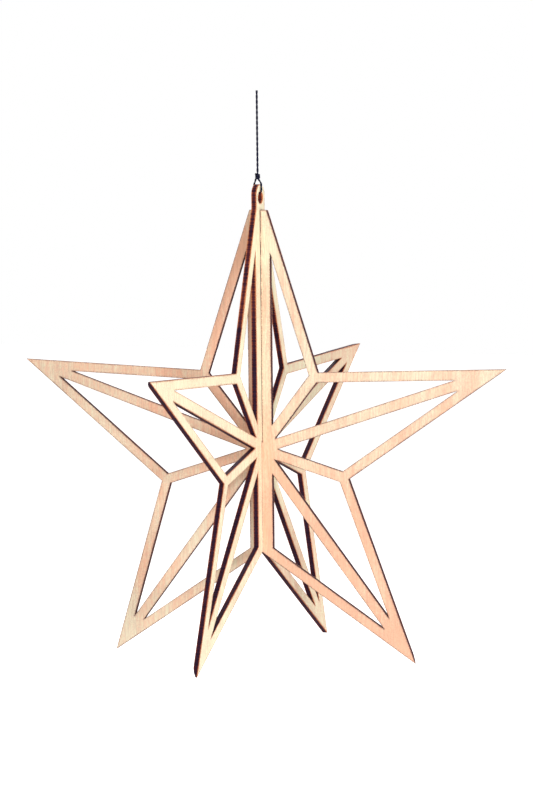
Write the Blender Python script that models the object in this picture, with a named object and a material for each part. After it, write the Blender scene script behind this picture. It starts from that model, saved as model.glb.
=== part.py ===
# A hanging star: two flat plywood stars slotted into each other at a right angle, on a knotted cord.
# Metres, +Z up. The origin is the top end of the cord, where the ornament is held. The cross panel lies
# across X, the hanging panel across Y, and their slots cross on the Z axis.

import math

import bmesh
import bpy
from mathutils import Vector

# Stock and fit
PLY_THICKNESS = 0.0030
SLOT_CLEARANCE = 0.0003
TOUCH_GAP = 0.0003

# The star as drawn, measured from the point where its spokes meet. It is a little uneven: on its wide
# side, drawn to the right, the lower notch lies farther out, and the bars are a little thinner.
SIDE_TIP_REACH_WIDE = 0.1406
SIDE_TIP_REACH_NARROW = 0.1412
SIDE_TIP_RISE = 0.0462
APEX_RISE = 0.1436
UPPER_NOTCH_REACH_WIDE = 0.0352
UPPER_NOTCH_REACH_NARROW = 0.0337
UPPER_NOTCH_RISE = 0.0422
LOWER_NOTCH_REACH_WIDE = 0.0590
LOWER_NOTCH_DROP_WIDE = 0.0190
LOWER_NOTCH_REACH_NARROW = 0.0512
LOWER_NOTCH_DROP_NARROW = 0.0148
LEG_REACH_WIDE = 0.0880
LEG_DROP_WIDE = 0.1132
LEG_REACH_NARROW = 0.0887
LEG_DROP_NARROW = 0.1124
BOTTOM_NOTCH_DROP = 0.0557

# Bars between the cutouts
BAND_WIDTH_WIDE = 0.0053
BAND_WIDTH_NARROW = 0.0055
SPOKE_WIDTH_WIDE = 0.0055
SPOKE_WIDTH_NARROW = 0.0059
SPINE_WIDTH = 0.0135

# Slots, and the top of each panel. The slots lie a little to the wide side of the drawing's centre.
SLOT_OFFSET = 0.0006
SLOT_FLOOR_RISE = 0.0039
CROSS_PANEL_SAG = 0.0011
FLAT_TOP_BELOW_APEX = 0.0147
TAB_WIDTH = 0.0110
TAB_TOP_BELOW_APEX = 0.0021
HOLE_DIAMETER = 0.0064
HOLE_BELOW_TAB_TOP = 0.0071
ARC_STEPS = 24

# Cord
CORD_DIAMETER = 0.0011
HELD_END_LENGTH = 0.0040
CORD_TO_KNOT = 0.0445
CORD_POINT_SPACING = 0.0025
KNOT_HEIGHT = 0.0034
KNOT_WIDTH = 0.0028
KNOT_DEPTH = 0.0026
KNOT_ABOVE_TAB = 0.0023
LOOP_POINT_SPACING = 0.0006
# The rounding of a cord end that turns on another: how far in, and the share of the radius there.
END_ROUNDING = [(0.0, 0.4), (0.0003, 0.85), (0.00055, 1.0)]

cord_radius = CORD_DIAMETER / 2
half_slot = (PLY_THICKNESS + SLOT_CLEARANCE) / 2
tab_top_rise = APEX_RISE - TAB_TOP_BELOW_APEX
hole_rise = tab_top_rise - HOLE_BELOW_TAB_TOP
flat_top_rise = APEX_RISE - FLAT_TOP_BELOW_APEX
slot_roof_rise = SLOT_FLOOR_RISE - CROSS_PANEL_SAG + TOUCH_GAP

# Heights below the origin, from the held end down
knot_top = -CORD_TO_KNOT
knot_bottom = knot_top - KNOT_HEIGHT
tab_top = knot_bottom - KNOT_ABOVE_TAB
hanging_centre = tab_top - tab_top_rise
cross_centre = hanging_centre - CROSS_PANEL_SAG
hole_top = hanging_centre + hole_rise + HOLE_DIAMETER / 2
loop_pivot = hole_top - TOUCH_GAP - cord_radius


def clear_scene():
    for obj in list(bpy.data.objects):
        bpy.data.objects.remove(obj, do_unlink=True)


def principled(name, colour, roughness):
    material = bpy.data.materials.new(name)
    material.use_nodes = True
    shader = material.node_tree.nodes["Principled BSDF"]
    shader.inputs["Base Color"].default_value = (*colour, 1.0)
    shader.inputs["Roughness"].default_value = roughness
    shader.inputs["Metallic"].default_value = 0.0
    return material


def height_of(obj):
    height = 0.0
    while obj is not None:
        height += obj.location.z
        obj = obj.parent
    return height


def joint_axis(name, collection, parent, height):
    axis = bpy.data.objects.new(name, None)
    axis.empty_display_size = 0.01
    collection.objects.link(axis)
    axis.parent = parent
    axis.location.z = height - height_of(parent)
    return axis


def place(obj, material, collection, parent, height):
    obj.data.materials.append(material)
    collection.objects.link(obj)
    obj.parent = parent
    obj.location.z = height - height_of(parent)


# The ten corners, counter-clockwise from the apex, with the narrow side first.
def star_corners():
    return [
        Vector((0.0, APEX_RISE)),
        Vector((-UPPER_NOTCH_REACH_NARROW, UPPER_NOTCH_RISE)),
        Vector((-SIDE_TIP_REACH_NARROW, SIDE_TIP_RISE)),
        Vector((-LOWER_NOTCH_REACH_NARROW, -LOWER_NOTCH_DROP_NARROW)),
        Vector((-LEG_REACH_NARROW, -LEG_DROP_NARROW)),
        Vector((0.0, -BOTTOM_NOTCH_DROP)),
        Vector((LEG_REACH_WIDE, -LEG_DROP_WIDE)),
        Vector((LOWER_NOTCH_REACH_WIDE, -LOWER_NOTCH_DROP_WIDE)),
        Vector((SIDE_TIP_REACH_WIDE, SIDE_TIP_RISE)),
        Vector((UPPER_NOTCH_REACH_WIDE, UPPER_NOTCH_RISE)),
    ]


def left_of(direction):
    return Vector((-direction.y, direction.x))


def crossing(point, direction, other_point, other_direction):
    reach = (other_point - point).cross(other_direction) / direction.cross(other_direction)
    return point + direction * reach


# The point of the line through two corners that lies at this distance across the star.
def across_at(start, end, across):
    return crossing(start, end - start, Vector((across, 0.0)), Vector((0.0, 1.0)))


def half_bar(corner):
    if corner.x == 0.0:
        return SPINE_WIDTH / 2
    return (SPOKE_WIDTH_WIDE if corner.x > 0.0 else SPOKE_WIDTH_NARROW) / 2


# One triangular cutout, between two neighbouring spokes and the band along the star's edge.
def cutout(first, second):
    edge = (second - first).normalized()
    band = first + left_of(edge) * (BAND_WIDTH_WIDE if first.x + second.x > 0.0 else BAND_WIDTH_NARROW)
    spoke = first.normalized()
    other_spoke = second.normalized()
    side = left_of(spoke) * half_bar(first)
    other_side = -left_of(other_spoke) * half_bar(second)
    return [
        crossing(side, spoke, other_side, other_spoke),
        crossing(side, spoke, band, edge),
        crossing(other_side, other_spoke, band, edge),
    ]


def cutouts(corners):
    return [cutout(*pair) for pair in zip(corners, corners[1:] + corners[:1])]


# The cross panel is cut off flat at the top, and slotted from there down to just above its centre.
def cross_outline(corners):
    apex = corners[0]
    flat_top = Vector((0.0, flat_top_rise))
    level = Vector((1.0, 0.0))
    slot = [
        Vector((SLOT_OFFSET + half_slot, flat_top_rise)),
        Vector((SLOT_OFFSET + half_slot, SLOT_FLOOR_RISE)),
        Vector((SLOT_OFFSET - half_slot, SLOT_FLOOR_RISE)),
        Vector((SLOT_OFFSET - half_slot, flat_top_rise)),
    ]
    return [
        crossing(apex, corners[1] - apex, flat_top, level),
        *corners[1:],
        crossing(apex, corners[-1] - apex, flat_top, level),
        *slot,
    ]


def arc(centre, radius, turn, steps):
    angles = [turn * step / steps for step in range(steps + 1)]
    return [centre + Vector((math.cos(angle), math.sin(angle))) * radius for angle in angles]


# The hanging panel is slotted from its bottom notch up, and ends in a tab with a round end.
def hanging_outline(corners):
    apex = corners[0]
    bottom = corners[5]
    slot = [
        across_at(corners[4], bottom, SLOT_OFFSET - half_slot),
        Vector((SLOT_OFFSET - half_slot, slot_roof_rise)),
        Vector((SLOT_OFFSET + half_slot, slot_roof_rise)),
        across_at(bottom, corners[6], SLOT_OFFSET + half_slot),
    ]
    radius = TAB_WIDTH / 2
    end_centre = Vector((SLOT_OFFSET, tab_top_rise - radius))
    tab = [
        across_at(corners[-1], apex, SLOT_OFFSET + radius),
        *arc(end_centre, radius, math.pi, ARC_STEPS),
        across_at(apex, corners[1], SLOT_OFFSET - radius),
    ]
    return [*corners[1:5], *slot, *corners[6:], *tab]


def cord_hole():
    centre = Vector((SLOT_OFFSET, hole_rise))
    return arc(centre, HOLE_DIAMETER / 2, 2 * math.pi, 2 * ARC_STEPS)[:-1]


# A sheet of plywood standing upright, turned about Z, with the middle of its slot on the Z axis.
def upright_sheet(name, outlines, turn):
    curve = bpy.data.curves.new(name, "CURVE")
    curve.dimensions = "2D"
    curve.fill_mode = "BOTH"
    curve.extrude = PLY_THICKNESS / 2
    for outline in outlines:
        spline = curve.splines.new("POLY")
        spline.points.add(len(outline) - 1)
        spline.use_cyclic_u = True
        for point, corner in zip(spline.points, outline):
            point.co = (corner.x - SLOT_OFFSET, corner.y, 0.0, 1.0)
    obj = bpy.data.objects.new(name, curve)
    obj.rotation_euler = (math.pi / 2, 0.0, turn)
    return obj


# Evenly spaced points along a smooth curve through the route.
def smooth_route(route, spacing):
    padded = [route[0] * 2 - route[1], *route, route[-1] * 2 - route[-2]]
    points = [route[0]]
    for before, start, end, after in zip(padded, padded[1:], padded[2:], padded[3:]):
        speed = (end - before) / 2
        bend = before - start * 2.5 + end * 2 - after / 2
        swing = (after - before + (start - end) * 3) / 2
        steps = max(1, round((end - start).length / spacing))
        for step in range(1, steps + 1):
            t = step / steps
            points.append(start + speed * t + bend * t**2 + swing * t**3)
    return points


# A round cord through these points. Heights in a curve are measured from its own origin.
def cord(name, points, shares, origin):
    curve = bpy.data.curves.new(name, "CURVE")
    curve.dimensions = "3D"
    curve.bevel_depth = cord_radius
    curve.bevel_resolution = 2
    curve.use_fill_caps = True
    spline = curve.splines.new("POLY")
    spline.points.add(len(points) - 1)
    for point, spot, share in zip(spline.points, points, shares):
        point.co = (spot.x, spot.y, spot.z - origin, 1.0)
        point.radius = share
    return bpy.data.objects.new(name, curve)


# A vertical cord from a square end to one that is rounded so that it can turn against its neighbour.
def straight_cord(name, square_end, round_end, origin):
    up = 1 if square_end > round_end else -1
    rounded = [(round_end + up * inward, share) for inward, share in END_ROUNDING]
    start = rounded[-1][0]
    steps = round(abs(square_end - start) / CORD_POINT_SPACING)
    plain = [(start + (square_end - start) * step / steps, 1.0) for step in range(1, steps + 1)]
    points = [Vector((0.0, 0.0, height)) for height, _ in rounded + plain]
    return cord(name, points, [share for _, share in rounded + plain], origin)


# One leg of the loop, from the knot down beside the tab and round the top edge of its hole.
def loop_leg():
    passing = TOUCH_GAP + cord_radius
    face = PLY_THICKNESS / 2
    beside = face + passing
    return [
        Vector((0.00080, 0.0, knot_bottom - 0.00005)),
        Vector((0.00135, 0.0, knot_bottom - 0.00045)),
        Vector((0.00190, 0.0, knot_bottom - 0.00105)),
        Vector((0.00225, 0.0, knot_bottom - 0.00180)),
        Vector((beside, 0.0, tab_top - 0.00060)),
        Vector((beside, 0.0, (tab_top + hole_top) / 2)),
        Vector((beside, 0.0, hole_top)),
        Vector((face + passing * math.sin(math.pi / 4), 0.0, hole_top - passing * math.sin(math.pi / 4))),
        Vector((face, 0.0, loop_pivot)),
    ]


def loop_route():
    leg = loop_leg()
    other_leg = [Vector((-spot.x, spot.y, spot.z)) for spot in reversed(leg)]
    return [*leg, Vector((0.0, 0.0, loop_pivot)), *other_leg]


def knot(name):
    mesh = bpy.data.meshes.new(name)
    shape = bmesh.new()
    bmesh.ops.create_uvsphere(shape, u_segments=16, v_segments=10, radius=0.5)
    bmesh.ops.scale(shape, vec=(KNOT_WIDTH, KNOT_DEPTH, KNOT_HEIGHT), verts=shape.verts)
    shape.to_mesh(mesh)
    shape.free()
    mesh.shade_smooth()
    return bpy.data.objects.new(name, mesh)


def build():
    clear_scene()
    star = bpy.data.collections.new("wooden_star_ornament")
    bpy.context.scene.collection.children.link(star)
    birch = principled("birch_plywood", (0.84, 0.66, 0.47), 0.6)
    dark_cord = principled("dark_cord", (0.035, 0.032, 0.055), 0.75)

    held_point = joint_axis("held_point", star, None, 0.0)
    swing = joint_axis("cord_swing_axis", star, held_point, -HELD_END_LENGTH)
    spin = joint_axis("star_spin_axis", star, swing, knot_top)
    rock = joint_axis("star_rock_axis", star, spin, loop_pivot)
    slide = joint_axis("panel_slide_axis", star, rock, cross_centre)

    held_end = straight_cord("cord_top_end", 0.0, TOUCH_GAP / 2 - HELD_END_LENGTH, 0.0)
    place(held_end, dark_cord, star, held_point, 0.0)
    cord_end = -HELD_END_LENGTH - TOUCH_GAP / 2
    free_cord = straight_cord("hanging_cord", knot_top + TOUCH_GAP, cord_end, -HELD_END_LENGTH)
    place(free_cord, dark_cord, star, swing, -HELD_END_LENGTH)

    place(knot("cord_knot"), dark_cord, star, spin, (knot_top + knot_bottom) / 2)
    loop = smooth_route(loop_route(), LOOP_POINT_SPACING)
    place(cord("cord_loop", loop, [1.0] * len(loop), knot_top), dark_cord, star, spin, knot_top)

    corners = star_corners()
    holes = cutouts(corners)
    hanging = upright_sheet(
        "hanging_star_panel", [hanging_outline(corners), *holes, cord_hole()], math.pi / 2
    )
    place(hanging, birch, star, rock, hanging_centre)
    cross = upright_sheet("cross_star_panel", [cross_outline(corners), *holes], math.pi)
    place(cross, birch, star, slide, cross_centre)


build()
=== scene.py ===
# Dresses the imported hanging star: two slotted sheets of laser-cut birch plywood on a dark twisted cord.
import math

import bmesh
import bpy
import numpy as np
from mathutils import Matrix, Vector
from mathutils.geometry import delaunay_2d_cdt


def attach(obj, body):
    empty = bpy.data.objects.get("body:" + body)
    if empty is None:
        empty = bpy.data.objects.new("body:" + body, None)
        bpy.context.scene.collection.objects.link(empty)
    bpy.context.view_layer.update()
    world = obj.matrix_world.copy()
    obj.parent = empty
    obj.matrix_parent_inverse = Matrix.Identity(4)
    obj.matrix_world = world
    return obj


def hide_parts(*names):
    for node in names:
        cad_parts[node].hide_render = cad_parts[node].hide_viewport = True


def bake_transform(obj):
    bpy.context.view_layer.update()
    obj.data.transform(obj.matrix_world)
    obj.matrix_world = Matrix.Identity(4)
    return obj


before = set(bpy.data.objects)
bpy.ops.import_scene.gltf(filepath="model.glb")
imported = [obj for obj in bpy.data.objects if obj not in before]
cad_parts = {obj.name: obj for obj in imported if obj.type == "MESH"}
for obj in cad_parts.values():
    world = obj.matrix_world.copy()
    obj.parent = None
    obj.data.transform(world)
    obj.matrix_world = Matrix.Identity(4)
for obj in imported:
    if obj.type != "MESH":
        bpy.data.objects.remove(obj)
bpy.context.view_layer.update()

mm = 0.001
white = (1.0, 1.0, 1.0, 1.0)
print("frame loaded:", ", ".join(sorted(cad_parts)))


def addObject(name, data):
    made = bpy.data.objects.new(name, data)
    bpy.context.scene.collection.objects.link(made)
    return made


# The way from the star to where a camera or a lamp stands. Angles in degrees.
def wayTo(azimuth, elevation):
    turn, rise = math.radians(azimuth), math.radians(elevation)
    return Vector((math.sin(turn) * math.cos(rise), -math.cos(turn) * math.cos(rise), math.sin(rise)))


# Camera. Angles in degrees, as measured from the photo's perspective.
photoCamera = {
    "azimuth": 23.551,
    "elevation": 4.927,
    "roll": -0.6306,
    "distance": 2.1117,
    "aim": (2.350 * mm, 3.234 * mm, -166.570 * mm),
    "lens": 176.22,
    "sensor": 36.0,
    "clip": (0.05, 20.0),
}


def makeCamera(look):
    turn, roll = math.radians(look["azimuth"]), math.radians(look["roll"])
    back = wayTo(look["azimuth"], look["elevation"])
    level = Vector((math.cos(turn), math.sin(turn), 0.0))
    right = level * math.cos(roll) + back.cross(level) * math.sin(roll)
    data = bpy.data.cameras.new("photoCamera")
    data.lens = look["lens"]
    data.sensor_width = look["sensor"]
    data.clip_start, data.clip_end = look["clip"]
    camera = addObject("photoCamera", data)
    facing = Matrix((right, back.cross(right), back)).transposed().to_4x4()
    camera.matrix_world = Matrix.Translation(Vector(look["aim"]) + back * look["distance"]) @ facing
    bpy.context.scene.camera = camera


makeCamera(photoCamera)
print("camera placed")


# Node helpers. A value may be a constant or another node's output.
def addNode(tree, kind, **settings):
    node = tree.nodes.new(kind)
    for name, value in settings.items():
        setattr(node, name, value)
    return node


def plug(tree, sockets, values):
    for socket, value in zip(sockets, values):
        if isinstance(value, bpy.types.NodeSocket):
            tree.links.new(value, socket)
        else:
            socket.default_value = value


def feed(tree, node, **inputs):
    plug(tree, [node.inputs[name.replace("_", " ")] for name in inputs], inputs.values())
    return node


def calculate(tree, operation, first, second=0.0, third=0.0):
    node = addNode(tree, "ShaderNodeMath", operation=operation)
    plug(tree, node.inputs, (first, second, third))
    return node.outputs[0]


def calculateVector(tree, operation, *values):
    node = addNode(tree, "ShaderNodeVectorMath", operation=operation)
    plug(tree, node.inputs, values)
    return node.outputs


def stretched(tree, vector, scale):
    return calculateVector(tree, "MULTIPLY", vector, scale)["Vector"]


def flattened(tree, vector):
    return stretched(tree, vector, (1.0, 1.0, 0.0))


def separated(tree, vector):
    return feed(tree, addNode(tree, "ShaderNodeSeparateXYZ"), Vector=vector).outputs


def blendColours(tree, share, first, second):
    node = addNode(tree, "ShaderNodeMix", data_type="RGBA")
    plug(tree, (node.inputs[0], node.inputs[6], node.inputs[7]), (share, first, second))
    return node.outputs[2]


def noise(tree, vector, scale, detail=2.0, roughness=0.5):
    node = addNode(tree, "ShaderNodeTexNoise", noise_dimensions="3D")
    feed(tree, node, Vector=stretched(tree, vector, scale), Scale=1.0, Detail=detail, Roughness=roughness)
    return node.outputs[0]


def ranged(tree, value, low, high, toLow=0.0, toHigh=1.0):
    node = addNode(tree, "ShaderNodeMapRange", interpolation_type="SMOOTHSTEP")
    plug(tree, node.inputs, (value, low, high, toLow, toHigh))
    return node.outputs[0]


def bump(tree, height, strength, distance):
    node = feed(tree, addNode(tree, "ShaderNodeBump"), Height=height, Strength=strength, Distance=distance)
    return node.outputs[0]


def readAttribute(tree, name, output):
    return addNode(tree, "ShaderNodeAttribute", attribute_name=name).outputs[output]


def makeGroup(name, inputs, outputs):
    tree = bpy.data.node_groups.new(name, "ShaderNodeTree")
    for label, kind, value in inputs:
        socket = tree.interface.new_socket(name=label, in_out="INPUT", socket_type="NodeSocket" + kind)
        if value is not None:
            socket.default_value = value
    for label, kind in outputs:
        tree.interface.new_socket(name=label, in_out="OUTPUT", socket_type="NodeSocket" + kind)
    return tree, addNode(tree, "NodeGroupInput").outputs, addNode(tree, "NodeGroupOutput")


def placeGroup(tree, group, **inputs):
    return feed(tree, addNode(tree, "ShaderNodeGroup", node_tree=group), **inputs).outputs


def newMaterial(name):
    material = bpy.data.materials.new(name)
    material.use_nodes = True
    tree = material.node_tree
    return material, tree, tree.nodes["Principled BSDF"]


def srgb(*levels):
    shares = [level / 255 for level in levels]
    return (*[share / 12.92 if share <= 0.04045 else ((share + 0.055) / 1.055) ** 2.4 for share in shares], 1.0)


# Birch veneer. The sheet coordinates are millimetres across, up and through the plywood; the grain runs up.
# The dictionary has the star's centre, the half width over which the painted light and shade turns from one
# half to the other, the sway of the growth bands, and how strong each mark is.
birch = {
    "centre": -190.0,
    "join": 8.0,
    "sway": 14.0,
    "broad": 0.50,
    "bands": 0.40,
    "mottle": 0.32,
    "fibres": 0.36,
    "flecks": 0.30,
    "fleckDepth": 1.5,
    "smooth": 0.50,
    "rough": 0.62,
}


def makeBirchGrain(look):
    tree, given, result = makeGroup(
        "birchGrain",
        [
            ("Sheet", "Vector", None),
            ("Shift", "Vector", (0.0, 0.0, 0.0)),
            ("Lean", "Vector", (0.0, 0.0, 0.0)),
            ("Outward", "Float", 0.0),
            ("Leaf", "Float", 0.0),
            ("Leaf Lean", "Float", 0.0),
            ("Peach", "Color", (0.8, 0.6, 0.4, 1.0)),
            ("Cream", "Color", (0.9, 0.7, 0.5, 1.0)),
            ("Fibre", "Color", (0.6, 0.4, 0.3, 1.0)),
        ],
        [("Color", "Color"), ("Roughness", "Float"), ("Height", "Float")],
    )
    flat = flattened(tree, given["Sheet"])
    sheet = calculateVector(tree, "ADD", flat, given["Shift"])["Vector"]
    # growth bands wander slowly from side to side
    sway = calculate(tree, "MULTIPLY", noise(tree, sheet, (0.015, 0.012, 1.0), 1.0), look["sway"])
    offset = feed(tree, addNode(tree, "ShaderNodeCombineXYZ"), X=sway).outputs[0]
    grain = calculateVector(tree, "ADD", sheet, offset)["Vector"]
    broad = ranged(tree, noise(tree, grain, (0.035, 0.014, 1.0), 2.0), 0.38, 0.62)
    bands = ranged(tree, noise(tree, grain, (0.36, 0.010, 1.0), 3.0, 0.55), 0.36, 0.64)
    mottle = ranged(tree, noise(tree, grain, (0.9, 0.45, 1.0), 2.0), 0.34, 0.66)
    fibres = noise(tree, grain, (1.7, 0.09, 1.0), 3.0, 0.6)
    flecks = noise(tree, grain, (3.2, 0.40, 1.0), 1.0)
    # painted light and shade, partly the veneer's own tone: the sheet is drawn paler where the star is lit and
    # darker and pinker where it is shaded, by a slope (tone per millimetre across and up from the star's
    # centre, and a base) and by how far out it lies
    place = calculateVector(tree, "ADD", flat, (0.0, -look["centre"], 1.0))["Vector"]
    shadeLean = calculateVector(tree, "DOT_PRODUCT", place, given["Lean"])["Value"]
    spot = separated(tree, place)
    outward = calculate(tree, "ABSOLUTE", spot["X"])
    pale = calculate(tree, "MULTIPLY_ADD", outward, given["Outward"], shadeLean)
    # painted light and shade: the halves either side of the middle pale in opposite ways, the left darker at
    # the top and paler at the bottom
    side = ranged(tree, spot["X"], -look["join"], look["join"], -0.5, 0.5)
    shadeSplit = calculate(tree, "MULTIPLY_ADD", spot["Y"], given["Leaf Lean"], given["Leaf"])
    pale = calculate(tree, "MULTIPLY_ADD", side, shadeSplit, pale)
    for tone, level in ((broad, "broad"), (bands, "bands"), (mottle, "mottle")):
        pale = calculate(tree, "MULTIPLY_ADD", tone, look[level], pale)
    colour = blendColours(tree, pale, given["Peach"], given["Cream"])
    darker = calculate(tree, "MULTIPLY", ranged(tree, fibres, 0.42, 0.70), look["fibres"])
    colour = blendColours(tree, darker, colour, given["Fibre"])
    fleck = calculate(tree, "MULTIPLY", ranged(tree, flecks, 0.60, 0.74), look["flecks"])
    feed(
        tree, result, Color=blendColours(tree, fleck, colour, given["Fibre"]),
        Roughness=ranged(tree, fibres, 0.3, 0.7, look["smooth"], look["rough"]),
        Height=calculate(tree, "SUBTRACT", fibres, calculate(tree, "MULTIPLY", fleck, look["fleckDepth"])),
    )
    return tree


# Laser scorch along a cut, by the distance to it in millimetres. The mask is the burnt share of the surface.
# The dictionary says how much the beam's pulses and the drift of its smoke change the reach, and how far the
# burn and the haze go, as shares of it.
scorch = {
    "pulses": 0.8,
    "driftLeast": 0.45,
    "driftMost": 1.1,
    "burnReach": 0.75,
    "hazeReach": 2.2,
    "hazeLevel": 0.75,
}


def makeLaserScorch(look):
    tree, given, result = makeGroup(
        "laserScorch",
        [
            ("Color", "Color", (0.8, 0.6, 0.4, 1.0)),
            ("Sheet", "Vector", None),
            ("To Cut", "Float", 1.0),
            ("Reach", "Float", 0.4),
            ("Haze", "Color", (0.6, 0.35, 0.2, 1.0)),
            ("Burn", "Color", (0.2, 0.08, 0.04, 1.0)),
        ],
        [("Color", "Color"), ("Mask", "Float")],
    )
    flat = flattened(tree, given["Sheet"])
    pulses = ranged(tree, noise(tree, flat, (1.1, 1.1, 1.0), 1.0), 0.42, 0.58)
    smoke = noise(tree, flat, (0.045, 0.030, 1.0), 2.0)
    drift = ranged(tree, smoke, 0.35, 0.65, look["driftLeast"], look["driftMost"])
    uneven = calculate(tree, "MULTIPLY_ADD", pulses, look["pulses"], drift)
    reach = calculate(tree, "MULTIPLY", given["Reach"], uneven)
    burnTo = calculate(tree, "MULTIPLY", reach, look["burnReach"])
    hazeTo = calculate(tree, "MULTIPLY", reach, look["hazeReach"])
    burnt = ranged(tree, given["To Cut"], 0.0, burnTo, 1.0, 0.0)
    hazy = ranged(tree, given["To Cut"], 0.0, hazeTo, look["hazeLevel"], 0.0)
    colour = blendColours(tree, hazy, given["Color"], given["Haze"])
    feed(tree, result, Color=blendColours(tree, burnt, colour, given["Burn"]), Mask=burnt)
    return tree


birchGrain = makeBirchGrain(birch)
laserScorch = makeLaserScorch(scorch)


# Plywood sheets, cut like the frame's panels. Lengths in millimetres.
plywood = {
    "thickness": 3.0,
    "crossTaper": 0.28,  # how much farther in the cut lies at the back
    "hangingTaper": 0.0,
    "taperReach": 1.5,  # how far into the back it pulls the face's points along
    "slotReach": 2.0,
    "slotTop": -62.0,
    "arris": 0.11,
    "step": 2.5,  # along the cut
    "miter": 2.5,  # a sharp corner moves in by no more than so many times the depth
    "rings": (0.35, 0.75, 1.15),  # how far from the cut the face has points too
    "ringMiter": 4.0,
    "ringBend": 0.3,  # inward corners over this angle, in radians, are gone round in turns
    "ringTurn": 0.5,
    "ringLeast": 0.97,
    "farthest": 3.0,  # the most that toCut says
    "tipAngle": 55.0,
    "tipWear": 2.1,
    "tipReach": 6.0,
    "legsBelow": -250.0,
    "sharpFrom": 30.0,
    "mapMargin": 0.004,  # from here on, shares of the image
    "mapSplit": 0.905,
    "mapRow": 0.0078,
    "mapHeights": (0.0, 0.15, 0.85, 1.0),
    "mapFill": 0.78,
}
crossVeneer = {
    "shift": (0.0, 0.0, 0.0),
    # painted light and shade, partly the veneer's own tone: paler where the star is lit, towards the top and
    # the tips
    "shadeLean": (0.0, 0.0022, -0.30),
    "outward": 0.0018,
    # painted light and shade: the left half is darker at the top and paler at the bottom, the right half the
    # other way round
    "shadeSplit": -0.04,
    "shadeSplitLean": 0.009,
    "peach": srgb(243, 190, 158),
    "cream": srgb(241, 229, 200),
    "fibre": srgb(198, 146, 122),
    "reach": 0.44,
    # the dashes darkened along the upper end of the slot are painted shade where the panels meet, partly real
    # scorch
    "slotWidth": 1.8,
    "slotFade": 0.6,
    "slotFrom": -118.0,
    "slotTo": -100.0,
    "slotShadeAndBurn": 1.5,
    "haze": srgb(192, 150, 130),
    "burn": srgb(86, 48, 42),
    "burntRoughness": 0.2,
    "gloss": 0.4,
    "relief": 0.35,
}
hangingVeneer = crossVeneer | {
    "shift": (310.0, 95.0, 7.0),
    # painted shade, partly the veneer's own tone: the half behind the other panel is darker, and the sheet
    # paler towards the top
    "shadeLean": (-0.0042, 0.0010, 0.30),
    "outward": 0.0,
    "shadeSplit": 0.0,
    "shadeSplitLean": 0.0,
    "peach": srgb(227, 185, 157),
    "cream": srgb(234, 230, 198),
    "slotShadeAndBurn": 0.0,
    "haze": srgb(204, 142, 112),
}
charredEdge = {
    "soot": srgb(26, 12, 32),
    "char": srgb(60, 28, 40),
    "ash": srgb(56, 38, 60),
    "glue": srgb(20, 9, 18),
    "glueLine": 0.5,
    "glueWidth": 0.09,
    "glueLevel": 0.45,
    "halfThickness": plywood["thickness"] / 2,
    "reach": 0.34,
    "wideFrom": -155.0,
    "wideTo": -95.0,
    "wideReach": 0.85,
    "haze": srgb(124, 52, 40),
    "burn": srgb(212, 132, 86),
    "backBurn": srgb(212, 132, 86),
    "gloss": 0.08,
    "relief": 0.7,
}
crossEdge = charredEdge | {
    "reach": 0.60,
    "wideReach": 0.70,
    "haze": srgb(104, 58, 54),
    "burn": srgb(88, 46, 44),
    "backBurn": srgb(232, 184, 152),
}


def makeVeneer(name, look):
    material, tree, shader = newMaterial(name)
    sheet = readAttribute(tree, "sheet", "Vector")
    # the wood's tone carries painted light and shade, partly the veneer's own
    wood = placeGroup(
        tree, birchGrain, Sheet=sheet, Shift=look["shift"],
        Lean=look["shadeLean"], Outward=look["outward"], Leaf=look["shadeSplit"], Leaf_Lean=look["shadeSplitLean"],
        Peach=look["peach"], Cream=look["cream"], Fibre=look["fibre"],
    )
    # painted shade, partly real scorch: the face is darkened in dashes along the upper end of the slot, where
    # the other panel meets it
    place = separated(tree, sheet)
    across = calculate(tree, "ABSOLUTE", place["X"])
    slot = ranged(tree, across, look["slotWidth"], look["slotWidth"] + look["slotFade"], 1.0, 0.0)
    upper = ranged(tree, place["Y"], look["slotFrom"], look["slotTo"])
    dashes = ranged(tree, noise(tree, sheet, (0.0, 0.16, 0.0), 1.0), 0.44, 0.54)
    slot = calculate(tree, "MULTIPLY", calculate(tree, "MULTIPLY", slot, upper), dashes)
    scorched = placeGroup(
        tree, laserScorch, Color=wood["Color"], Sheet=sheet, To_Cut=readAttribute(tree, "toCut", "Fac"),
        Reach=calculate(tree, "MULTIPLY_ADD", slot, look["slotShadeAndBurn"], look["reach"]),
        Haze=look["haze"], Burn=look["burn"],
    )
    feed(
        tree, shader, Base_Color=scorched["Color"],
        Roughness=calculate(tree, "MULTIPLY_ADD", scorched["Mask"], look["burntRoughness"], wood["Roughness"]),
        Specular_IOR_Level=look["gloss"],
        Normal=bump(tree, wood["Height"], look["relief"], 0.05 * mm),
    )
    return material


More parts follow.
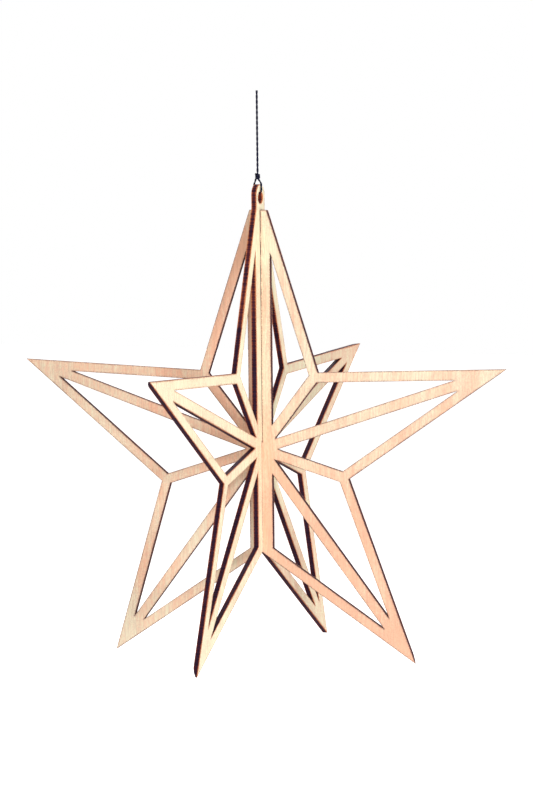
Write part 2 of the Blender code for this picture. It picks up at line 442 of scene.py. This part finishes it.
# The cut edge: charred, with fine streaks through the thickness and redder along both arrises. Near the tab the
# red bands along the arrises reach farther.
def makeCharredEdge(name, look):
    material, tree, shader = newMaterial(name)
    sheet = readAttribute(tree, "sheet", "Vector")
    place = separated(tree, sheet)
    streaks = noise(tree, flattened(tree, sheet), (1.5, 1.5, 1.0), 2.0, 0.6)
    ash = noise(tree, sheet, (0.35, 0.35, 0.8), 2.0)
    colour = blendColours(tree, ranged(tree, streaks, 0.38, 0.68), look["soot"], look["char"])
    colour = blendColours(tree, ranged(tree, ash, 0.45, 0.75, 0.0, 0.5), colour, look["ash"])
    # glue lines between the veneers
    depth = calculate(tree, "ABSOLUTE", place["Z"])
    toLine = calculate(tree, "ABSOLUTE", calculate(tree, "SUBTRACT", depth, look["glueLine"]))
    glue = ranged(tree, toLine, 0.0, look["glueWidth"], look["glueLevel"], 0.0)
    scorched = placeGroup(
        tree, laserScorch, Color=blendColours(tree, glue, colour, look["glue"]), Sheet=sheet,
        To_Cut=calculate(tree, "SUBTRACT", look["halfThickness"], depth),
        Reach=ranged(tree, place["Y"], look["wideFrom"], look["wideTo"], look["reach"], look["wideReach"]),
        Haze=look["haze"],
        Burn=blendColours(tree, ranged(tree, place["Z"], -0.2, 0.2), look["burn"], look["backBurn"]),
    )
    height = calculate(tree, "SUBTRACT", streaks, calculate(tree, "MULTIPLY", glue, 0.6))
    feed(
        tree, shader, Base_Color=scorched["Color"],
        Roughness=ranged(tree, streaks, 0.3, 0.7, 0.62, 0.85),
        Specular_IOR_Level=look["gloss"],
        Normal=bump(tree, height, look["relief"], 0.12 * mm),
    )
    return material


def signedArea(outline):
    return sum(here.cross(after) for here, after in zip(outline, outline[1:] + outline[:1])) / 2


# The closed outlines of a flat node, in millimetres across and up, with the wood always on their left.
def outlinesOf(node, along):
    through, flatFrom = 1 - along, 0.99
    shape = bmesh.new()
    shape.from_mesh(node.data)
    bmesh.ops.remove_doubles(shape, verts=shape.verts, dist=1e-6)
    shape.normal_update()
    following = {}
    for face in shape.faces:
        if face.normal[through] > flatFrom:
            for loop in face.loops:
                if loop.link_loop_radial_next.face.normal[through] < flatFrom:
                    following[loop.vert] = loop.link_loop_next.vert
    outlines = []
    while following:
        vert = next(iter(following))
        outline = []
        while vert in following:
            outline.append(Vector((vert.co[along], vert.co.z)) / mm)
            vert = following.pop(vert)
        outlines.append(outline)
    shape.free()
    outlines.sort(key=lambda outline: -abs(signedArea(outline)))
    if signedArea(outlines[0]) < 0:
        outlines = [outline[::-1] for outline in outlines]
    return outlines


def divided(outline, step):
    points = []
    for start, end in zip(outline, outline[1:] + outline[:1]):
        steps = max(1, round((end - start).length / step))
        points += [start.lerp(end, i / steps) for i in range(steps)]
    return points


# For each point of an outline, the point itself and the directions into the wood before and after it.
def cornersOf(points):
    for before, here, after in zip(points[-1:] + points[:-1], points, points[1:] + points[:1]):
        first, second = (here - before).normalized(), (after - here).normalized()
        yield here, Vector((-first.y, first.x)), Vector((-second.y, second.x))


# A corner moved into the wood, no farther than so many times the depth.
def insetCorner(here, first, second, depth, most):
    middle = (first + second).normalized()
    return here + middle * depth * min(1 / max(middle.dot(first), 0.01), most)


def inset(points, depth):
    return [insetCorner(*corner, depth, plywood["miter"]) for corner in cornersOf(points)]


# The star's points: the outward corners of the outer outline that are sharp enough to be rubbed down.
def tipsOf(outline):
    tips = []
    for here, first, second in cornersOf(outline):
        turn = math.degrees(math.atan2(first.cross(second), first.dot(second)))
        if turn > 180 - plywood["tipAngle"]:
            tips.append(here)
    return tips


# How much thinner the back of the sheet is at a point, in millimetres.
def wearAt(point, tips):
    nearest = min((point - tip).length for tip in tips) / plywood["tipReach"]
    return plywood["tipWear"] * max(0.0, 1.0 - nearest) ** 2


# Points about this far inside an outline, round its inward corners too.
def ringPoints(points, depth):
    found = []
    for here, first, second in cornersOf(points):
        turn = math.atan2(first.cross(second), first.dot(second))
        if turn < -plywood["ringBend"]:
            steps = max(2, round(-turn / plywood["ringTurn"]))
            start = math.atan2(first.y, first.x)
            for i in range(steps + 1):
                angle = start + turn * i / steps
                found.append(here + Vector((math.cos(angle), math.sin(angle))) * depth)
        else:
            found.append(insetCorner(here, first, second, depth, plywood["ringMiter"]))
    return found


# For each point, the way to it from the nearest point of the outlines, and how long that is.
def waysFrom(outlines, points):
    starts = np.array([point for outline in outlines for point in outline])
    ends = np.array([point for outline in outlines for point in outline[1:] + outline[:1]])
    lines = ends - starts
    away = np.array(points)[:, None, :] - starts[None]
    share = np.clip((away * lines).sum(2) / (lines * lines).sum(1), 0, 1)
    ways = away - share[..., None] * lines
    lengths = np.linalg.norm(ways, axis=2)
    nearest = lengths.argmin(1)
    rows = np.arange(len(points))
    return ways[rows, nearest], lengths[rows, nearest]


# Where the beam's cut is tapered, it reaches farther into the wood at the back. The slot is cut square.
def isTapered(point):
    return abs(point.x) >= plywood["slotReach"] or point.y >= plywood["slotTop"]


def tapered(rim, ring):
    return [there if isTapered(here) else here for here, there in zip(rim, ring)]


# A face of the sheet as triangles: its points, the triangles, and where the edges' points are among them.
def triangulate(outlines, rims, edges):
    flat, ties, rimOf = [], [], []
    for number, ring in enumerate(edges):
        first = len(flat)
        flat += ring
        ties += [(first + i, first + (i + 1) % len(ring)) for i in range(len(ring))]
        rimOf += [number] * len(ring)
    inner = {}
    for depth in plywood["rings"]:
        candidates = [point for rim in rims for point in ringPoints(rim, depth)]
        for point, distance in zip(candidates, waysFrom(outlines, candidates)[1]):
            if distance > depth * plywood["ringLeast"]:
                inner.setdefault((round(point.x, 1), round(point.y, 1)), point)
    flat += inner.values()
    outputKind, weldWithin = 2, 1e-5
    points, _, triangles, origins, _, _ = delaunay_2d_cdt(flat, ties, [], outputKind, weldWithin)
    placed = {old: new for new, olds in enumerate(origins) for old in olds}
    edgeAt = [placed[old] for old in range(len(rimOf))]
    # a triangle with all its corners on one cutout's rim lies in the cutout
    rimAt = dict(zip(edgeAt, rimOf))
    triangles = [
        corners for corners in triangles
        if len({rimAt.get(i, 0) for i in corners}) > 1 or rimAt.get(corners[0], 0) == 0
    ]
    return points, triangles, edgeAt


# Shades a finished shape smooth, but for its sharp edges, and makes it an object.
def finishShape(name, shape, sharpFrom, *materials):
    bmesh.ops.recalc_face_normals(shape, faces=shape.faces)
    mesh = bpy.data.meshes.new(name)
    shape.to_mesh(mesh)
    shape.free()
    mesh.polygons.foreach_set("use_smooth", [True] * len(mesh.polygons))
    mesh.set_sharp_from_angle(angle=math.radians(sharpFrom))
    for material in materials:
        mesh.materials.append(material)
    return addObject(name, mesh)


# One panel. The sheet runs along X (0) or Y (1). Its back is the side, -1 or 1 through the sheet, where the
# arrises are rubbed down at the tips, but for the sound leg: -1 for the left one, 1 for the right, 0 for none.
def cutSheet(name, node, along, back, soundLeg, taper, veneer, edge):
    arris, margin, half = plywood["arris"], plywood["mapMargin"], plywood["thickness"] / 2
    outlines = outlinesOf(node, along)
    tips = [tip for tip in tipsOf(outlines[0]) if tip.x * soundLeg <= 0 or tip.y > plywood["legsBelow"]]
    rims = [divided(outline, plywood["step"]) for outline in outlines]
    edges = [inset(rim, arris) for rim in rims]
    points, triangles, edgeAt = triangulate(outlines, rims, edges)
    ways, lengths = waysFrom(outlines, points)
    depths = np.minimum(lengths, plywood["farthest"])
    # where each point lies at the back
    shares = np.clip((plywood["taperReach"] - lengths) / (plywood["taperReach"] - arris), 0, 1)
    backPoints = [
        point + Vector(way) / max(length, 1e-6) * taper * isTapered(point) * share
        for point, way, length, share in zip(points, ways, lengths, shares)
    ]
    backEdges = [tapered(ring, inset(rim, arris + taper)) for rim, ring in zip(rims, edges)]
    for i, spot in zip(edgeAt, (spot for ring in backEdges for spot in ring)):
        backPoints[i] = spot

    shape = bmesh.new()
    sheetLayer = shape.verts.layers.float_vector.new("sheet")
    cutLayer = shape.verts.layers.float.new("toCut")
    mapLayer = shape.loops.layers.uv.new("OFBake")

    def addVert(point, through, toCut):
        if through * back > 0:
            through -= back * wearAt(point, tips)
        place = [0.0, 0.0, point.y * mm]
        place[along], place[1 - along] = point.x * mm, through * mm
        vert = shape.verts.new(place)
        vert[sheetLayer] = (point.x, point.y, through)
        vert[cutLayer] = toCut
        return vert

    # both faces share one map, on which the sheet fills the image's width
    low = Vector((min(point.x for point in points), min(point.y for point in points)))
    scale = (1 - 2 * margin) / (max(point.x for point in points) - low.x)
    sides = []
    for through in (-half, half):
        places = backPoints if through * back > 0 else points
        verts = [addVert(place, through, depth) for place, depth in zip(places, depths)]
        sides.append(verts)
        for corners in triangles:
            face = shape.faces.new([verts[i] for i in corners])
            for loop, i in zip(face.loops, corners):
                spot = (points[i] - low) * scale
                loop[mapLayer].uv = (spot.x + margin, spot.y + margin)

    # the cut edges lie above them in rows
    row, across, first = 0, margin, 0
    for rim in rims:
        backRim = tapered(rim, inset(rim, taper))
        walls = [
            [addVert(point, side * (half - arris), 0.0) for point in (backRim if side == back else rim)]
            for side in (-1, 1)
        ]
        ends = edgeAt[first:first + len(rim)]
        first += len(rim)
        columns = [(sides[0][end], *wall, sides[1][end]) for end, wall in zip(ends, zip(*walls))]
        following = zip(rim[1:] + rim[:1], columns[1:] + columns[:1])
        for here, column, (after, nextColumn) in zip(rim, columns, following):
            width = (after - here).length * scale
            if across + width > 1 - margin:
                row, across = row + 1, margin
            base = plywood["mapSplit"] + row * plywood["mapRow"]
            for j in range(3):
                face = shape.faces.new((column[j], nextColumn[j], nextColumn[j + 1], column[j + 1]))
                face.material_index = 1
                for loop, (right, up) in zip(face.loops, ((0, j), (1, j), (1, j + 1), (0, j + 1))):
                    rise = plywood["mapHeights"][up] * plywood["mapRow"] * plywood["mapFill"]
                    loop[mapLayer].uv = (across + right * width, base + rise)
            across += width
    return finishShape(name, shape, plywood["sharpFrom"], veneer, edge)


crossPanel = cutSheet(
    "crossPanel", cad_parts["cross_star_panel"], 0, 1, 0, plywood["crossTaper"],
    makeVeneer("crossVeneer", crossVeneer), makeCharredEdge("crossEdge", crossEdge),
)
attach(crossPanel, "cross_panel")
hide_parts("cross_star_panel")
hangingPanel = cutSheet(
    "hangingPanel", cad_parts["hanging_star_panel"], 1, -1, 1, plywood["hangingTaper"],
    makeVeneer("hangingVeneer", hangingVeneer), makeCharredEdge("hangingEdge", charredEdge),
)
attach(hangingPanel, "hanging_panel")
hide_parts("hanging_star_panel")
print("plywood cut")


# Twisted cord. Lengths in millimetres. The route is the one of the frame's cord, from the knot up to the
# held end; the knotted loop runs from there down through the tab's hole, round the cord and out as a tail.
twoPly = {
    "diameter": 1.2,
    "lay": 5.6,  # the length of one turn of the plies
    "sides": 12,
    "step": 0.2,
    "fibreTurn": 1.1,
    "plyShare": 0.70,  # a ply's thickness, as a share of the cord's
    "plyShift": 40.0,  # so that the two plies' fibres differ
    "endShare": 0.7,  # a ply's thickness at its end and how far that goes, as shares of the ply's
    "endReach": 0.5,
    "sharpFrom": 60.0,
    "mapMargin": 0.02,
    "gloss": 0.12,
    "relief": 0.8,
    "navy": srgb(6, 6, 24),
    "blue": srgb(38, 42, 78),
}
freeRoute = [(0.0, 0.0, -44.5 + 44.5 * i / 18) for i in range(19)]
tuckedEnd = -45.1  # the free stretch goes on a little, into the knot
knottedLoop = {
    "standing": [(0.0, 0.0, -44.8), (0.05, 0.0, -45.6), (0.15, 0.0, -46.6), (0.45, 0.0, -47.5)],
    "leg": [
        (1.10, -48.35), (1.60, -49.1), (1.95, -49.85), (2.08, -50.7), (2.10, -52.2), (2.09, -53.4),
        (1.93, -54.15), (1.50, -54.60), (0.80, -54.72), (0.0, -54.74),
    ],
    "wrapFrom": (-1.22, -0.1, -48.1),
    "turns": 2.75,
    "turnSteps": 8,
    "ringWidth": 1.90,
    "ringDepth": 1.70,
    "ringFrom": -47.25,
    "ringTo": -45.15,
    "tail": [(-0.55, 0.75, -45.1), (-1.05, 0.35, -44.85), (-1.5, 0.05, -44.65)],
    "tightness": 0.88,
}


# Points about this far apart along a smooth curve through a route.
def smoothLine(route, step):
    padded = [route[0] * 2 - route[1], *route, route[-1] * 2 - route[-2]]
    points = [route[0]]
    for before, start, end, after in zip(padded, padded[1:], padded[2:], padded[3:]):
        speed = (end - before) / 2
        bend = before - start * 2.5 + end * 2 - after / 2
        swing = (after - before + (start - end) * 3) / 2
        steps = max(1, round((end - start).length / step))
        shares = [i / steps for i in range(1, steps + 1)]
        points += [start + speed * share + bend * share**2 + swing * share**3 for share in shares]
    return points


# Two plies wound round a line of points in millimetres; the cord is thinner where it is pulled tight.
def twistCord(name, line, tightness, material):
    shape = bmesh.new()
    yarnLayer = shape.verts.layers.float_vector.new("yarn")
    mapLayer = shape.loops.layers.uv.new("OFBake")
    sides, margin = twoPly["sides"], twoPly["mapMargin"]
    tangents = [
        (after - before).normalized() for before, after in zip(line[:1] + line[:-1], line[1:] + line[-1:])
    ]
    # two axes across the cord, carried along it without a twist
    normal = tangents[0].orthogonal().normalized()
    axes, along, length = [], [], 0.0
    for before, here, tangent in zip(line[:1] + line[:-1], line, tangents):
        normal = (normal - tangent * normal.dot(tangent)).normalized()
        length += (here - before).length
        axes.append((normal, tangent.cross(normal)))
        along.append(length)
    thick = twoPly["diameter"] / 2 * twoPly["plyShare"] * tightness
    apart = twoPly["diameter"] / 2 * tightness - thick
    pull = 2 * math.pi * apart / twoPly["lay"]
    for ply in (0, 1):
        rings = []
        for here, tangent, (side, other), reach in zip(line, tangents, axes, along):
            turn = 2 * math.pi * reach / twoPly["lay"] + ply * math.pi
            outward = side * math.cos(turn) + other * math.sin(turn)
            forward = (tangent + tangent.cross(outward) * pull).normalized()
            sideways = forward.cross(outward)
            # both ends are a little rounded
            toEnd = min(reach, length - reach) / thick / twoPly["endReach"]
            radius = thick * min(1.0, twoPly["endShare"] + (1.0 - twoPly["endShare"]) * toEnd)
            ring = []
            for i in range(sides):
                angle = 2 * math.pi * i / sides
                bulge = outward * math.cos(angle) + sideways * math.sin(angle)
                spot = here + outward * apart + bulge * radius
                spot.z = min(spot.z, 0.0)  # the held end is cut square
                vert = shape.verts.new(spot * mm)
                spun = angle + twoPly["fibreTurn"] * reach / thick
                vert[yarnLayer] = (reach + twoPly["plyShift"] * ply, math.cos(spun), math.sin(spun))
                ring.append(vert)
            rings.append(ring)
        for j, (ring, following) in enumerate(zip(rings, rings[1:])):
            for i in range(sides):
                k = (i + 1) % sides
                face = shape.faces.new((ring[i], ring[k], following[k], following[i]))
                for loop, (right, up) in zip(face.loops, ((j, i), (j, i + 1), (j + 1, i + 1), (j + 1, i))):
                    height = margin + (1 - 2 * margin) * up / sides
                    loop[mapLayer].uv = (along[right] / length, (ply + height) / 2)
        for cap, spot in ((rings[0][::-1], 0.0), (rings[-1], 1.0)):
            for loop in shape.faces.new(cap).loops:
                loop[mapLayer].uv = (spot, (ply + 0.5) / 2)
    return finishShape(name, shape, twoPly["sharpFrom"], material)


def makeCordYarn(name, look):
    material, tree, shader = newMaterial(name)
    yarn = readAttribute(tree, "yarn", "Vector")
    fibres = noise(tree, yarn, (0.5, 5.0, 5.0), 3.0, 0.6)
    fuzz = ranged(tree, noise(tree, yarn, (1.6, 1.2, 1.2), 2.0), 0.3, 0.7, 0.5, 1.0)
    lighter = calculate(tree, "MULTIPLY", ranged(tree, fibres, 0.42, 0.75), fuzz)
    feed(
        tree, shader, Base_Color=blendColours(tree, lighter, look["navy"], look["blue"]),
        Roughness=ranged(tree, fibres, 0.3, 0.7, 0.85, 0.65),
        Specular_IOR_Level=look["gloss"],
        Normal=bump(tree, fibres, look["relief"], 0.06 * mm),
    )
    return material


def loopRoute(look):
    right = [(x, 0.0, z) for x, z in look["leg"]]
    left = [(-x, 0.0, z) for x, z in look["leg"][-2:0:-1]]
    route = [*look["standing"], *right, *left, look["wrapFrom"]]
    steps = round(look["turns"] * look["turnSteps"])
    for i in range(1, steps + 1):
        turn = math.pi + 2 * math.pi * look["turns"] * i / steps
        height = look["ringFrom"] + (look["ringTo"] - look["ringFrom"]) * i / steps
        route.append((look["ringWidth"] / 2 * math.cos(turn), look["ringDepth"] / 2 * math.sin(turn), height))
    return [Vector(spot) for spot in [*route, *look["tail"]]]


cordYarn = makeCordYarn("cordYarn", twoPly)
freeLine = smoothLine([Vector(spot) for spot in [(0.0, 0.0, tuckedEnd), *freeRoute]], twoPly["step"])
freeCord = twistCord("freeCord", freeLine, 1.0, cordYarn)
loopLine = smoothLine(loopRoute(knottedLoop), twoPly["step"])
cordKnot = twistCord("cordKnot", loopLine, knottedLoop["tightness"], cordYarn)
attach(cordKnot, "knotted_loop")
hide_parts("cord_knot", "cord_loop")
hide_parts("cord_top_end", "hanging_cord")
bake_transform(freeCord)
print("cord twisted")


# Floor, world and lamps
studio = {
    "floorHeight": -0.62,
    "floorSize": 12.0,
    "floorColour": (0.85, 0.85, 0.85, 1.0),
    "floorRoughness": 0.9,
    "nearLift": 0.30,
    "farLift": 0.90,
    "liftFrom": 0.45,
    "liftTo": 1.15,
    "world": 0.30,
    "worldColour": (1.0, 0.90, 0.84, 1.0),
    "lampsAim": (0.0, 0.0, -0.18),
    # azimuth, elevation, distance, size and level; the level is what it adds to a white surface that faces it
    "lamps": {
        "keyLamp": (54.0, 1.0, 2.0, 0.40, 0.64),
        "frontLamp": (18.0, 6.0, 2.5, 0.70, 0.26),
        "topLamp": (74.0, 72.0, 1.5, 0.50, 0.35),
        "backLamp": (212.0, 36.0, 2.5, 0.80, 0.55),
    },
}


# One for the rays that see the background: the camera's, and those in gloss and glass.
def seenDirectly(tree):
    path = addNode(tree, "ShaderNodeLightPath").outputs
    seen = calculate(tree, "ADD", path["Is Camera Ray"], path["Is Glossy Ray"])
    return calculate(tree, "MINIMUM", calculate(tree, "ADD", seen, path["Is Transmission Ray"]), 1.0)


def makeFloor(look):
    half = look["floorSize"] / 2
    rim = [(x, y, look["floorHeight"]) for x, y in ((-half, -half), (half, -half), (half, half), (-half, half))]
    mesh = bpy.data.meshes.new("floor")
    mesh.from_pydata(rim, [], [(0, 1, 2, 3)])
    floor = addObject("floor", mesh)
    material, tree, shader = newMaterial("paleFloor")
    # it lightens to the white of the room away from the star, and keeps the shadow under it
    place = addNode(tree, "ShaderNodeNewGeometry").outputs["Position"]
    away = calculateVector(tree, "LENGTH", flattened(tree, place))["Value"]
    lift = ranged(tree, away, look["liftFrom"], look["liftTo"], look["nearLift"], look["farLift"])
    feed(
        tree, shader, Base_Color=look["floorColour"], Roughness=look["floorRoughness"], Emission_Color=white,
        Emission_Strength=calculate(tree, "MULTIPLY", seenDirectly(tree), lift),
    )
    mesh.materials.append(material)


def makeWorld(look):
    world = bpy.data.worlds.new("whiteRoom")
    world.use_nodes = True
    tree = world.node_tree
    seen = seenDirectly(tree)
    feed(
        tree, tree.nodes["Background"], Color=blendColours(tree, seen, look["worldColour"], white),
        Strength=calculate(tree, "MULTIPLY_ADD", seen, 1 - look["world"], look["world"]),
    )
    bpy.context.scene.world = world


def makeLamps(look):
    for name, (azimuth, elevation, distance, size, level) in look["lamps"].items():
        back = wayTo(azimuth, elevation)
        data = bpy.data.lights.new(name, "AREA")
        data.size = size
        data.energy = level * math.pi**2 * distance**2
        lamp = addObject(name, data)
        lamp.location = Vector(look["lampsAim"]) + back * distance
        lamp.rotation_mode = "QUATERNION"
        lamp.rotation_quaternion = back.to_track_quat("Z", "Y")


makeFloor(studio)
makeWorld(studio)
makeLamps(studio)
bpy.context.scene.view_settings.view_transform = "Standard"
print("studio lit")

bpy.context.view_layer.update()
